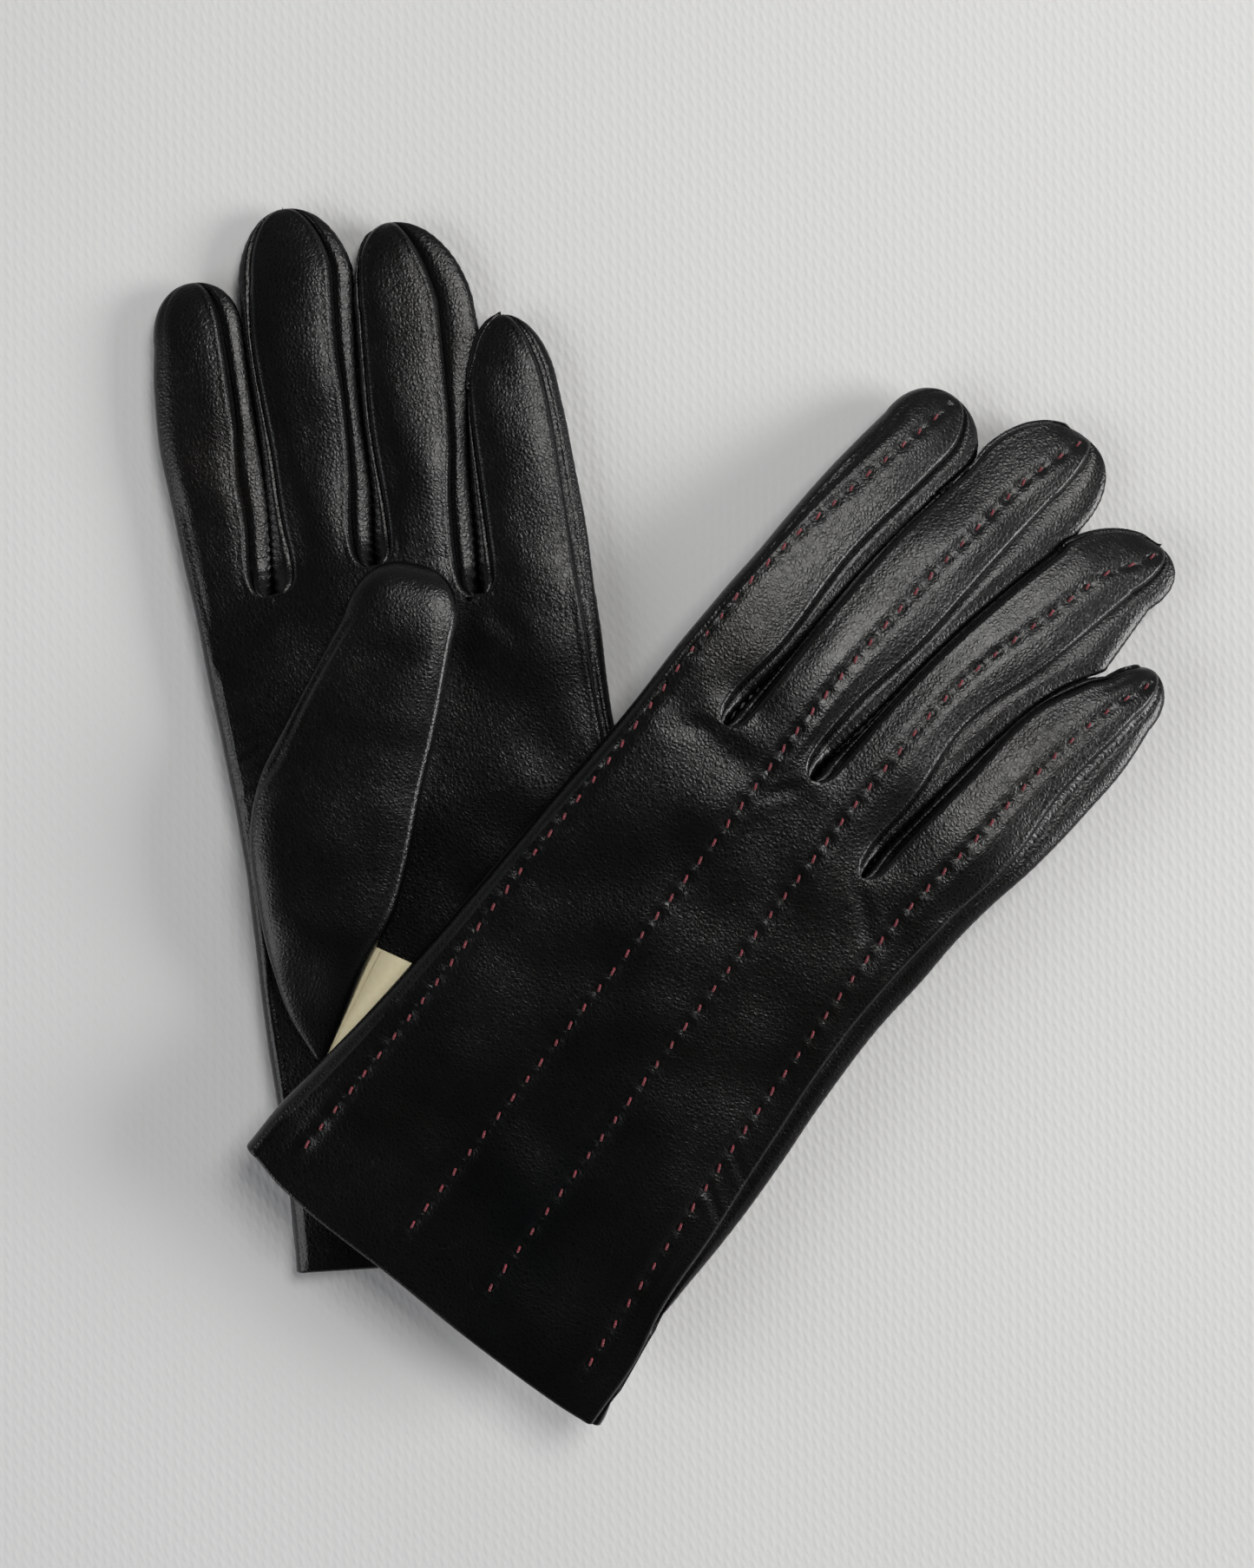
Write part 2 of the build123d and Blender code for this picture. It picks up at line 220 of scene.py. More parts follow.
def add_mesh(name, skin_mesh, material, replaced):
    """A mesh object from millimetre vertices, faces, and how many of the last faces are flat cut edges."""
    verts, faces, rims = skin_mesh
    mesh = bpy.data.meshes.new(name)
    mesh.from_pydata((np.asarray(verts) * MM).tolist(), [], faces.tolist())
    mesh.update()
    smooth = np.arange(len(faces)) < len(faces) - rims
    mesh.polygons.foreach_set("use_smooth", smooth)
    mesh.materials.append(material)
    piece = bpy.data.objects.new(name, mesh)
    bpy.context.scene.collection.objects.link(piece)
    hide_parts(*replaced)
    return piece


def grid_faces(rows, columns, wrap=False):
    """Quads of a rows by columns grid of vertices, which closes round its columns if wrap is set."""
    index = np.arange(rows * columns).reshape(rows, columns)
    last = columns if wrap else columns - 1
    faces = []
    for k in range(last):
        n = (k + 1) % columns
        faces.append(np.stack([index[:-1, k], index[1:, k], index[1:, n], index[:-1, n]], axis=1))
    return np.concatenate(faces)


def vertex_normals(verts, faces):
    """Unit normals of a quad mesh's vertices."""
    corners = verts[faces]
    cross = np.cross(corners[:, 2] - corners[:, 0], corners[:, 3] - corners[:, 1])
    normals = np.zeros_like(verts)
    for c in range(4):
        np.add.at(normals, faces[:, c], cross)
    length = np.linalg.norm(normals, axis=1, keepdims=True)
    return normals / np.maximum(length, 1e-9)


def thicken(verts, faces, wall):
    """The sheet with a wall grown on its inner side, closed along its open edges."""
    used, inverse = np.unique(faces, return_inverse=True)
    verts, faces = verts[used], inverse.reshape(faces.shape)
    inner = verts - wall * vertex_normals(verts, faces)
    count = len(verts)
    edges = np.concatenate([faces[:, [c, (c + 1) % 4]] for c in range(4)])
    key = np.sort(edges, axis=1)
    _, first, times = np.unique(key, axis=0, return_index=True, return_counts=True)
    rim = edges[first[times == 1]]
    rims = np.stack([rim[:, 1], rim[:, 0], rim[:, 0] + count, rim[:, 1] + count], axis=1)
    walls = np.concatenate([verts, inner])
    # the cut edges have corners of their own, so they don't bend the shading of the skin beside them
    cut, inverse = np.unique(rims, return_inverse=True)
    rims = inverse.reshape(rims.shape) + len(walls)
    verts = np.concatenate([walls, walls[cut]])
    return verts, np.concatenate([faces, faces[:, ::-1] + count, rims]), len(rims)


# Strips: one for each finger, with its share of the hand


def closing(x, power):
    """Width of a rounded end, 1 at x = 0 and 0 at x = 1."""
    return np.maximum(1 - np.clip(x, 0, 1) ** power, 0) ** (1 / power)


class Strip:
    """Lines in plan and section heights of one finger, along v.

    outline: left and right functions of v. seams: the top sheet's two edges, which lie inside the outline.
    row: the points row, or None for the middle. shoulder: the v where the end starts to close.
    tip: its (u, v). power: how blunt the tip is. mid and half: the middle height and half the thickness.
    fold: True for a side with no seam. root: the v on each side where the finger leaves the hand.
    """

    def __init__(self, outline, seams, row, shoulder, tip, power, mid, half, fold, root):
        self.outline, self.seams, self.row = outline, seams, row
        self.shoulder, self.tip, self.power = shoulder, tip, power
        self.mid, self.half, self.fold, self.root = mid, half, fold, root
        self.centre = (outline[0](shoulder) + outline[1](shoulder)) / 2

    def close(self, value, v):
        """A line's u at v, drawn in towards the tip past the shoulder."""
        x = np.clip((v - self.shoulder) / (self.tip[1] - self.shoulder), 0, 1)
        middle = self.centre + (self.tip[0] - self.centre) * x
        return np.where(v > self.shoulder, middle + (value - self.centre) * closing(x, self.power), value)

    def lines(self, v, insets=(0.0, 0.0)):
        """Outline, top seams, bottom seams and row, as u at v."""
        left, right = (self.outline[k](v) for k in (0, 1))
        top_left, top_right = (self.seams[k](v) for k in (0, 1))
        grown = [ease(v - self.root[k], 0, FINGER_FULL) for k in (0, 1)]
        low_left = left + BOTTOM_SEAM_IN * grown[0] + insets[0]
        low_right = right - BOTTOM_SEAM_IN * grown[1] - insets[1]
        middle = (top_left + top_right) / 2 if self.row is None else self.row(v)
        upper = (top_left + insets[0], top_right - insets[1])
        found = (left + insets[0], right - insets[1], *upper, low_left, low_right, middle)
        return [self.close(line, v) for line in found]

    def thickness(self, v, inset):
        """Half the thickness at v, closing at the tip."""
        x = (v - self.shoulder + CLOSE_EARLY) / (self.tip[1] - self.shoulder + CLOSE_EARLY)
        return np.maximum(self.half(v) - inset, 0.1) * closing(x, END_ROUNDNESS)


def side_drop(x, fold, power):
    """Drop of a sheet towards one edge, 0 in the middle and 1 at x = 1."""
    return x**5 if fold else 1 - closing(x, power)


def profile(x, fold, power=ROUNDNESS):
    """Height of a top sheet across x from -1 to 1, as a share of the half thickness."""
    level = [FOLD_LEVEL if side else SEAM_LEVEL for side in fold]
    left = 1 - (1 - level[0]) * side_drop(np.clip(-x, 0, 1), fold[0], power)
    right = 1 - (1 - level[1]) * side_drop(np.clip(x, 0, 1), fold[1], power)
    return np.where(x < 0, left, right)


def curl(distance, strength):
    """A sheet's edge turned down into a seam, with a raised lip beside it."""
    lip = LIP_HEIGHT * bell(distance - LIP_IN, LIP_WIDTH)
    return strength * (lip - SEAM_DEPTH * bell(distance, SEAM_WIDTH))


class Glove:
    """One glove: where it lies, its four strips, and its own folds and mounds.

    back is the part of the skin that the points rows are on. edges, gaps, seams and rows are lists of (u, v).
    """

    def __init__(self, name, back, place, outline, fingers, heights, leather):
        self.name, self.back = name, back
        self.origin, self.heading = place[0], np.radians(place[1])
        edges, roots, cuff, self.crotches, gaps = outline
        seams, rows, tips = fingers
        self.folds, self.mounds, self.seed = leather
        self.cuff = smooth_line(cuff)
        self.edges = [plan_line(edge) for edge in edges]
        roots = [roots[0], *[v for _, v in self.crotches], roots[1]]
        self.strips = []
        for k, (shoulder, tip, power) in enumerate(tips):
            left = self.edges[0] if k == 0 else self.boundary(k - 1, gaps[k - 1])
            right = self.edges[1] if k == 3 else self.boundary(k, gaps[k])
            seam_left = self.fold_line() if k == 0 else self.boundary(k - 1, seams[2 * k - 1], True)
            seam_right = plan_line(seams[6]) if k == 3 else self.boundary(k, seams[2 * k], True)
            row = plan_line(rows[k]) if rows else None
            fold, root = (k == 0, False), (roots[k], roots[k + 1])
            lines = (left, right), (seam_left, seam_right), row
            self.strips.append(Strip(*lines, shoulder, tip, power, *heights, fold, root))

    def boundary(self, k, beyond, rounded=False):
        """The line between strips k and k + 1: straight from the cuff to the crotch, then on as given.

        A seam leaves the crotch in a rounded corner.
        """
        u, v = self.crotches[k]
        cuff_u = CUFF_SPLITS[k]
        lower = [(at * v, cuff_u + (u - cuff_u) * at) for at in (0, 0.3, 0.6, 0.9, 0.995)]
        corner = []
        if rounded:
            wide, tall = beyond[0][0] - u, beyond[0][1] - v
            corner = [(v + tall * t, u + wide * closing(1 - t, 2.4)) for t in (0.03, 0.12, 0.3, 0.6)]
        return smooth_line(lower + [(v, u)] + corner + [(b, a) for a, b in beyond])

    def fold_line(self):
        """The top sheet's edge beside the folded side."""
        return lambda v: self.edges[0](v) + FOLD_IN

    def root_line(self, k, f):
        """v where finger k leaves the hand, at f across it."""
        low, high = self.strips[k].root
        return low + (high - low) * f

    def to_row(self, u, v, z):
        """Points in the row's frame, in millimetres."""
        c, s = np.cos(self.heading), np.sin(self.heading)
        x = self.origin[0] + u * c - v * s
        y = self.origin[1] + u * s + v * c
        return np.stack(np.broadcast_arrays(x, y, z), axis=-1)

    def relief(self, u, v):
        """Height of the leather's soft folds and creases over the smooth form."""
        height = 0.26 * soft_noise(u, v, 26, self.seed) + 0.09 * soft_noise(u, v, 9, self.seed + 1)
        for fold in self.folds:
            height = height + crease(u, v, *fold)
        for at_u, at_v, wide, long, tall in self.mounds:
            height = height + tall * bell(u - at_u, wide) * bell(v - at_v, long)
        return height


def row_relief(off, along, span):
    """The sewn groove beside a points row: off is the distance from it, and along the distance up it."""
    start, end = span
    within = ease(along, start - 2, start) * (1 - ease(along, end, end + 2))
    phase = (along - start) / POINTS_PITCH
    near = np.abs((phase % 1) - 0.5) * POINTS_PITCH
    dimple = bell(near - 0.9, 0.75) * bell(off, 0.85)
    pulled = bell(near, 1.3) * bell(off, 1.9)
    ridge = bell(np.abs(off) - 2.6, 1.1)
    form = RIDGE_HEIGHT * ridge - GROOVE_DEPTH * bell(off, 1.2)
    return within * (form - PULL_DEPTH * pulled - DIMPLE_DEPTH * dimple)


def hand_across(glove, u, v, inset):
    """Place across the whole hand, from -1 at one edge to 1 at the other."""
    left = glove.strips[0].seams[0](v) + inset
    right = glove.strips[3].seams[1](v) - inset
    return np.clip(2 * (u - left) / (right - left) - 1, -1, 1)


def side_skin(glove, k, side, lines, section, f, v):
    """Points of one side of strip k, which is -1 or 1, round from its upper seam to its lower one."""
    out, upper, lower = lines
    mid, half = section
    strip = glove.strips[k]
    fold, root = (pair[0 if side < 0 else 1] for pair in (strip.fold, strip.root))
    angle = np.pi * f
    high = angle < np.pi / 2
    u = out + (np.where(high, upper, lower) - out) * (1 - np.sin(angle))
    outer = (k, side) in ((0, -1), (3, 1))
    seam_level = SEAM_LEVEL if outer else 1 + (SEAM_LEVEL - 1) * ease(v - root, *LIP_ENDS)
    level = np.where(high, FOLD_LEVEL if fold else seam_level, BOTTOM_LEVEL)
    z = mid + half * level * np.cos(angle)
    swell = glove.relief(u * 1.7 + 60 * side, v) * 0.5 * np.sin(angle)
    if not fold:
        reach = np.abs(upper - u) + (1 - np.cos(angle)) * 2
        z = z + np.where(high, curl(reach, 0.8 * ease(half, *RELIEF_FADE)), 0)
        swell = swell + side_pleats(glove, k, side, f, v) * np.sin(angle)
    return glove.to_row(u + side * swell * np.sin(angle), v, z)


def skin(glove, k, part, f, v, inset=0.0):
    """Points of one part of strip k's skin, in the row's frame. part is top, bottom, left or right.

    f runs across the top and bottom from 0 to 1, and over a side from its upper seam to its lower one.
    """
    strip = glove.strips[k]
    on_finger = v.min() > min(strip.root) - 1
    insets = [inset if on_finger or k == outer else 0.0 for outer in (0, 3)]
    left, right, seam_left, seam_right, low_left, low_right, row = strip.lines(v, insets)
    mid, half = strip.mid(v), strip.thickness(v, inset)
    if part == "left":
        return side_skin(glove, k, -1, (left, seam_left, low_left), (mid, half), f, v)
    if part == "right":
        return side_skin(glove, k, 1, (right, seam_right, low_right), (mid, half), f, v)
    first, last = (seam_left, seam_right) if part == "top" else (low_left, low_right)
    if part != glove.back:
        row = (first + last) / 2
    u = np.where(f < 0.5, first + (row - first) * 2 * f, row + (last - row) * (2 * f - 1))
    x = 2 * f - 1
    across = hand_across(glove, u, v, inset)
    finger = ease(v - glove.root_line(k, f), *LIP_ENDS)
    shown = ease(half, *RELIEF_FADE)
    if part == "top":
        palm = profile(across, (True, False), PALM_ROUNDNESS)
        z = finger * profile(x, strip.fold) + (1 - finger) * palm
        height = mid + half * z
        for edge, side, outer in ((seam_left, 0, k == 0), (seam_right, 1, k == 3)):
            if strip.fold[side]:
                continue
            strength = 1.0 if outer else ease(v - strip.root[side], 0, 5)
            height = height + curl(np.abs(u - edge), strength * shown)
        height = height + glove.relief(u, v) * shown
        if glove.back == "top":
            height = height + shown * row_relief(u - row, v, row_span(strip))
        return glove.to_row(u, v, height)
    flat = 1 - (1 - BOTTOM_LEVEL) * np.abs(x) ** 6
    palm = 1 - (1 - BOTTOM_LEVEL) * np.abs(across) ** 12
    z = finger * flat + (1 - finger) * palm
    height = mid - half * z
    height = height - 0.35 * (glove.relief(u + 90, v) - 0.6) * shown
    if glove.back == "bottom":
        height = height - shown * row_relief(u - row, v, row_span(strip))
    return glove.to_row(u, v, height)


def row_span(strip):
    """Where a points row starts and ends along v."""
    return ROW_START, strip.tip[1] - ROW_END_IN


def side_pleats(glove, k, side, f, v):
    """Fine slanting creases on the sides of the fingers, deepest by the crotch."""
    root = glove.strips[k].root[0 if side < 0 else 1]
    depth = 0.05 + 0.16 * (1 - ease(v - root, 5, 35)) if 0 < k + (side > 0) < 4 else 0.03
    slant = v + side * 4 * f + 0.8 * soft_noise(v, f * 9, 7, glove.seed + k)
    return depth * np.sin(2 * np.pi * slant / 2.3)


# Building the pieces of a glove


def clustered(count):
    """Fractions from 0 to 1, closer together at the ends and in the middle."""
    x = np.linspace(0, 1, count)
    return x - 0.035 * np.sin(4 * np.pi * x)


def cuff_line(glove, k, f):
    """v of the cuff's edge at f across strip k, as one row."""
    return glove.cuff(CUFF_LEFTS[k] + (CUFF_LEFTS[k + 1] - CUFF_LEFTS[k]) * f)[None, :]


def hand_rows(glove, k, f, count, start):
    """v over a strip's hand part, rows by columns: from the cuff to the root line."""
    share = np.linspace(0, 1, count)[:, None]
    low = cuff_line(glove, k, f) + start
    return low + (glove.root_line(k, f)[None, :] - low) * share


def hand_ring(glove, counts, rows=0, inset=0.0, start=0.0, stations=None):
    """The hand's whole skin as a closed grid of points, rows by columns.

    The rows run from the cuff to the fingers' roots, or lie at the stations, measured from the cuff's edge.
    """
    top, low, side = counts
    parts = []
    for k in (3, 2, 1, 0):
        parts.append((k, "top", clustered(top)[::-1], None))
    parts.append((0, "left", np.linspace(0, 1, side), 0.0))
    for k in range(4):
        parts.append((k, "bottom", clustered(low), None))
    parts.append((3, "right", np.linspace(1, 0, side), 1.0))
    grids = []
    for k, part, f, at in parts:
        place = f if at is None else np.full(len(f), at)
        if stations is None:
            v = hand_rows(glove, k, place, rows, start)
        else:
            v = cuff_line(glove, k, place) + stations[:, None]
        depth = inset if np.isscalar(inset) else inset[:, None]
        grids.append(skin(glove, k, part, f[None, :], v, depth)[:, :-1])
    return np.concatenate(grids, axis=1)


def finger_rows(glove, k, f, spacing, inset=0.0):
    """v over a finger, rows by columns: from its root line to its tip."""
    strip = glove.strips[k]
    root = glove.root_line(k, f)[None, :]
    straight = int((strip.shoulder - min(strip.root)) / spacing)
    share = np.linspace(0, 1, straight)[:, None]
    turns = np.linspace(0, np.pi / 2, max(8, int(1.6 * (strip.tip[1] - strip.shoulder) / spacing)))[1:]
    length = strip.tip[1] - inset - strip.shoulder
    closing_v = strip.shoulder + length * np.sin(turns)[:, None] * NEARLY_CLOSED + 0 * root
    return np.concatenate([root + (strip.shoulder - root) * share, closing_v])


def finger_grid(glove, k, parts, counts, spacing, inset=0.0):
    """Some neighbouring parts of a finger's skin as one grid, rows by columns."""
    top, low, side = counts
    spans = {
        "top": (clustered(top)[::-1], None),
        "left": (np.linspace(0, 1, side), 0.0),
        "bottom": (clustered(low), None),
        "right": (np.linspace(1, 0, side), 1.0),
    }
    grids = []
    for part in parts:
        f, at = spans[part]
        place = f if at is None else np.full(len(f), at)
        v = finger_rows(glove, k, place, spacing, inset)
        grid = skin(glove, k, part, f[None, :], v, inset)
        grids.append(grid if not grids else grid[:, 1:])
    return np.concatenate(grids, axis=1)


def grid_mesh(grids, wall, wrap=False):
    """Vertices and faces of some grids of points, with a wall grown inwards."""
    verts, faces, count = [], [], 0
    for grid in grids:
        rows, columns = grid.shape[:2]
        verts.append(grid.reshape(-1, 3))
        faces.append(grid_faces(rows, columns, wrap=wrap) + count)
        count += rows * columns
    verts, faces = np.concatenate(verts), np.concatenate(faces)
    return thicken(verts, faces, wall) if wall else (verts, faces, 0)


def joint_of(name):
    """A joint's record from the frame."""
    return next(joint for joint in frame["joints"] if joint["name"] == name)


def bend_with(glove, piece, joint_name):
    """The piece's place is baked into its mesh. The finger's hinge is looked up, but the piece is not bent
    across it.
    """
    joint = joint_of(joint_name)
    axis, pos = Vector(joint["axis"]), Vector(joint["pos_m"])
    along = Vector((-axis.y, axis.x, 0)).normalized()
    forward = Vector((-np.sin(glove.heading), np.cos(glove.heading), 0))
    if along.dot(forward) < 0:
        along = -along
    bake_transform(piece)


def build_hand(glove, skins):
    """The hand's shell, the turned hem at its cuff, and its lining."""
    hand = f"{glove.name}_hand"
    shell = hand_ring(glove, SKIN_COUNTS, HAND_ROWS)
    mesh = grid_mesh([shell], WALL, wrap=True)
    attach(add_mesh(f"{hand}_leather", mesh, skins["leather"], [f"{hand}_shell"]), hand)
    turn = np.radians(np.linspace(0, 180, 9))
    deep = np.concatenate([WALL - HEM_ROLL * np.cos(turn), [HEM_INSIDE] * 8])
    stations = np.concatenate([-HEM_OUT * np.sin(turn) + 0.1, np.linspace(1.5, HEM_LONG, 8)])
    mesh = grid_mesh([hand_ring(glove, SKIN_COUNTS, inset=deep, stations=stations)], 0.0, wrap=True)
    hem = add_mesh(f"{glove.name}_cuff_edge", mesh, skins["leather"], [f"{glove.name}_cuff_hem"])
    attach(hem, hand)
    lining = hand_ring(glove, LINING_COUNTS, HAND_ROWS // 3, HAND_LINING_IN, HAND_LINING_START)
    mesh = grid_mesh([lining], LINING_WALL, wrap=True)
    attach(add_mesh(f"{hand}_knit", mesh, skins["lining"], [f"{hand}_lining"]), hand)


def build_finger(glove, k, skins):
    """One finger: its leather, the fourchettes between its seams, and its lining."""
    finger = FINGERS[k]
    name = f"{glove.name}_{finger}"
    joint = f"{name}_curl"
    if k == 0:
        runs = [("top", "left", "bottom")]
    elif k == 3:
        runs = [("bottom", "right", "top")]
    else:
        runs = [("top",), ("bottom",)]
    grids = [finger_grid(glove, k, run, SKIN_COUNTS, FINGER_SPACING) for run in runs]
    mesh = grid_mesh(grids, WALL)
    piece = add_mesh(f"{name}_leather", mesh, skins["leather"], [f"{name}_sheath"])
    bend_with(glove, piece, joint)
    sides = {0: [("right", "outer")], 3: [("left", "inner")]}.get(k, [("left", "inner"), ("right", "outer")])
    for part, label in sides:
        grid = finger_grid(glove, k, (part,), FOURCHETTE_COUNTS, FOURCHETTE_SPACING)
        mesh = grid_mesh([grid], WALL)
        node = f"{name}_{label}_fourchette"
        piece = add_mesh(f"{node}_leather", mesh, skins["leather"], [node])
        bend_with(glove, piece, joint)
    round_it = ("top", "left", "bottom", "right")
    lining = finger_grid(glove, k, round_it, LINING_COUNTS, LINING_SPACING, FINGER_LINING_IN)
    mesh = grid_mesh([lining], LINING_WALL)
    piece = add_mesh(f"{name}_knit", mesh, skins["lining"], [f"{name}_lining"])
    bend_with(glove, piece, joint)


# Threads of the points rows


def dash_grid(ends, height):
    """One stitch as a closed bead of thread from end to end, arched out of its two holes."""
    a, b = (np.array(end, float) for end in ends)
    t = np.linspace(0, 1, 9)[:, None]
    centre = a + (b - a) * t
    arch = height * np.sin(np.pi * t) - THREAD_END_DIP * (2 * t - 1) ** 4
    centre = centre + np.array([0, 0, 1.0]) * arch
    along = (b - a) / np.linalg.norm(b - a)
    across = np.cross(along, [0, 0, 1.0])
    turn = np.linspace(0, 2 * np.pi, 9)[:-1]
    width = THREAD_RADIUS * np.sqrt(np.clip(1 - (2 * t[:, 0] - 1) ** 6, 0.02, 1))
    ring = np.cos(turn)[None, :, None] * across + np.sin(turn)[None, :, None] * np.array([0, 0, 1.0])
    return centre[:, None, :] + width[:, None, None] * ring


def stitches(glove, k):
    """Grids of the row's stitches on strip k, split into those on the hand and those on the finger."""
    strip = glove.strips[k]
    start, end = row_span(strip)
    hand, finger = [], []
    random = np.random.default_rng(glove.seed + 40 + k)
    for number in range(round((end - start) / POINTS_PITCH)):
        middle = start + POINTS_PITCH * (number + 0.5) + random.uniform(-0.25, 0.25)
        length = THREAD_LENGTH * random.uniform(0.85, 1.1)
        slant = np.radians(STITCH_SLANT + random.uniform(-6, 6))
        ends = []
        for way in (-0.5, 0.5):
            v = np.array([[middle + way * length * np.cos(slant)]])
            wide = float((strip.lines(v)[3] - strip.lines(v)[2])[0, 0])
            f = np.array([[0.5 - way * length * np.sin(slant) / max(wide, 4)]])
            ends.append(skin(glove, k, glove.back, f, v)[0, 0])
        grid = dash_grid(ends, THREAD_ARCH if glove.back == "top" else -THREAD_ARCH)
        (hand if middle < glove.root_line(k, 0.5) else finger).append(grid)
    return hand, finger


def build_points(glove, skins):
    """The coloured stitches along the back of the hand and of each finger."""
    on_hand = []
    for k, finger in enumerate(FINGERS):
        hand, beyond = stitches(glove, k)
        on_hand += hand
        name = f"{glove.name}_{finger}"
        mesh = grid_mesh(beyond, 0, wrap=True)
        piece = add_mesh(f"{name}_stitches", mesh, skins["thread"], [f"{name}_points"])
        bend_with(glove, piece, f"{name}_curl")
    mesh = grid_mesh(on_hand, 0, wrap=True)
    hand = f"{glove.name}_hand"
    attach(add_mesh(f"{hand}_stitches", mesh, skins["thread"], [f"{hand}_points"]), hand)


# Thumbs


class ThumbPlan:
    """A thumb's own plan on its glove, with its lowest height and its thickness.

    palm_side is 1 where the palm lies above the thumb, and -1 where it lies below.
    """

    def __init__(self, glove, low, tall):
        self.glove, self.low, self.tall = glove, low, tall
        self.palm_side = 1 if glove.back == "top" else -1

    def to_row(self, a, b, z):
        """Points in the row's frame, in millimetres."""
        u = THUMB_ROOT[0] + a * THUMB_ALONG[1] + b * THUMB_ALONG[0]
        v = THUMB_ROOT[1] - a * THUMB_ALONG[0] + b * THUMB_ALONG[1]
        return self.glove.to_row(u, v, z)


def thumb_ring(plan, b, columns, inset=0.0):
    """A thumb's skin, rows along b and columns round it: over the top, down the left side and back below."""
    left, right = smooth_line(THUMB_LEFT)(b), smooth_line(THUMB_RIGHT)(b)
    x = np.clip((b - THUMB_SHOULDER) / (THUMB_TIP[1] - THUMB_SHOULDER), 0, 1)
    centre = (left + right) / 2 + (THUMB_TIP[0] - THUMB_SHOULDER_MIDDLE) * x
    wide = np.maximum((right - left) / 2 * closing(x, END_ROUNDNESS) - inset, 0.02)
    base = 0.12 + 0.88 * ease(b, -50, -16)
    tall = (plan.tall * base * closing((b - THUMB_THIN) / (THUMB_TIP[1] - THUMB_THIN), 2.4)) / 2
    tall = np.maximum(tall - inset, 0.02)
    turn = np.linspace(0, 2 * np.pi, columns + 1)[:-1][None, :]
    cos, sin = np.cos(turn), np.sin(turn)
    across = np.sign(cos) * np.abs(cos) ** 0.75
    upward = np.sign(sin) * np.abs(sin) ** np.where(sin > 0, 0.62, 0.3)
    a = centre[:, None] + wide[:, None] * across
    lean = (plan.tall / 2 - tall)[:, None] * 0.9 * plan.palm_side
    z = plan.low + plan.tall / 2 + lean + tall[:, None] * upward
    if inset == 0:
        shown = np.clip(sin, 0, 1) * ease(tall, 0.6, 2.5)[:, None]
        bb = np.broadcast_to(b[:, None], a.shape)
        lumps = 0.25 * soft_noise(a, bb, 18, THUMB_SEED) + 0.05 * soft_noise(a, bb, 6, THUMB_SEED + 1)
        z = z + shown * lumps
        lip = curl((centre + wide)[:, None] - a, 1.2) * ease(b, -8, 6)[:, None]
        z = z + shown * np.where(cos > 0, lip, 0)
        for fold in THUMB_FOLDS if plan.palm_side < 0 else ():
            z = z + shown * crease(a, bb, *fold)
    return plan.to_row(a, b[:, None], z)


def build_thumb(glove, skins):
    """A thumb: the part sewn into the palm, the part that opens, and its lining."""
    plan = ThumbPlan(glove, *THUMB_HEIGHTS[glove.name])
    base_b = np.linspace(THUMB_START, 0, 60)
    turns = np.linspace(0, np.pi / 2, 26)[1:]
    end_b = THUMB_SHOULDER + (THUMB_TIP[1] - THUMB_SHOULDER) * np.sin(turns) * NEARLY_CLOSED
    free_b = np.concatenate([np.linspace(0, THUMB_SHOULDER, 70), end_b])
    hand, thumb = f"{glove.name}_hand", f"{glove.name}_thumb"
    mesh = grid_mesh([thumb_ring(plan, base_b, THUMB_COLUMNS)], WALL, wrap=True)
    piece = add_mesh(f"{thumb}_base_leather", mesh, skins["leather"], [f"{thumb}_base"])
    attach(piece, hand)
    mesh = grid_mesh([thumb_ring(plan, free_b, THUMB_COLUMNS)], WALL, wrap=True)
    sheath = add_mesh(f"{thumb}_leather", mesh, skins["leather"], [f"{thumb}_sheath"])
    lining = thumb_ring(plan, free_b[:-2], THUMB_LINING_COLUMNS, FINGER_LINING_IN)
    mesh = grid_mesh([lining], THUMB_LINING_WALL, wrap=True)
    knit = add_mesh(f"{thumb}_knit", mesh, skins["lining"], [f"{thumb}_lining"])
    joint = joint_of(f"{thumb}_open")
    pos, axis = Vector(joint["pos_m"]), Vector(joint["axis"])
    along = Vector((-axis.y, axis.x, 0)).normalized()
    tip = Vector(plan.to_row(np.array(0.0), np.array(60.0), np.array(0.0)) * MM)
    if along.dot(tip - pos) < 0:
        along = -along
    for piece in (sheath, knit):
        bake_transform(piece)


# The folded paper tag under the upper glove


def build_tag(paper):
    """A folded slip of paper: two leaves that stand a little apart."""
    low, high = (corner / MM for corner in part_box("paper_tag"))
    centre = (low + high) / 2
    turn = np.radians(TAG_TURN)
    across, along = np.array([np.cos(turn), np.sin(turn), 0]), np.array([-np.sin(turn), np.cos(turn), 0])
    grids = []
    for leaf, (lift, shift, skew) in enumerate(TAG_LEAVES):
        x, y = np.meshgrid(np.linspace(-0.5, 0.5, 16) * TAG_SIZE[0], np.linspace(-0.5, 0.5, 28) * TAG_SIZE[1])
        x = x + shift + skew * y
        bow = 0.35 * (x / TAG_SIZE[0]) ** 2 + 0.5 * leaf * ((y / TAG_SIZE[1]) + 0.5) ** 2
        point = np.array(centre)[None, None, :] + x[..., None] * across + y[..., None] * along
        point[..., 2] = low.z + 0.15 + lift + bow
        grids.append(point)
    mesh = grid_mesh(grids, TAG_THICKNESS)
    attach(add_mesh("paper_tag_leaves", mesh, paper, ["paper_tag"]), "tag")


# Materials


